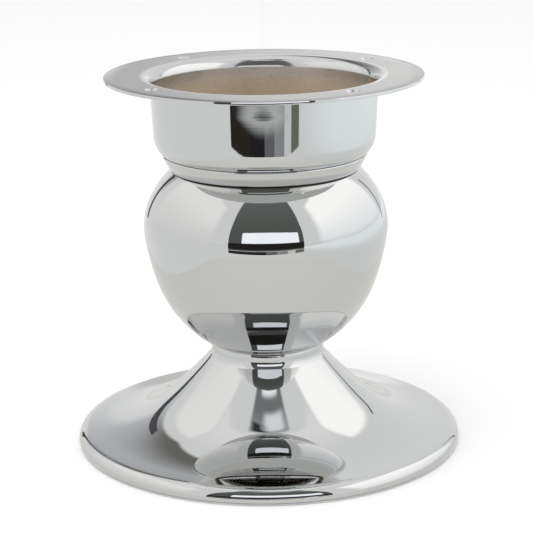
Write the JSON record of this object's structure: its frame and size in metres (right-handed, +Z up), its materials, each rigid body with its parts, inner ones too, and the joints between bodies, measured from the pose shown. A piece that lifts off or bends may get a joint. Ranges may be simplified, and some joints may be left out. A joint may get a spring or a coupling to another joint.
{
  "type": "altar candlestick",
  "caption": "Chromed pedestal candlestick with a trumpet foot, round knop and open candle cup whose flat flange has countersunk screw holes.",
  "frame": {"origin": "centre of the circle the candlestick rests on", "axes": "+Z up along the axis of turning; +X and +Y level, with the first flange screw hole 38 degrees round from +X towards +Y"},
  "size_m": [0.1556, 0.1556, 0.15],
  "materials": {
    "chrome": "bright chromed sheet, lightly waved",
    "bare_steel": "bare turned steel",
    "zinc": "bright zinc plated",
    "ring_plastic": "grey moulded plastic"
  },
  "bodies": {
    "root": {"base_ring": "ring_plastic", "foot_shell": "chrome", "clamp_bolt": "zinc", "foot_nut": "zinc", "lock_washer": "zinc", "foot_washer": "zinc", "clamp_plate": "bare_steel", "knop_shell": "chrome", "lower_centring_disc": "bare_steel", "spacer_tube": "bare_steel", "upper_centring_disc": "bare_steel", "cup_collar": "chrome", "candle_cup": "chrome", "cup_washer": "zinc"}
  },
  "joints": []
}
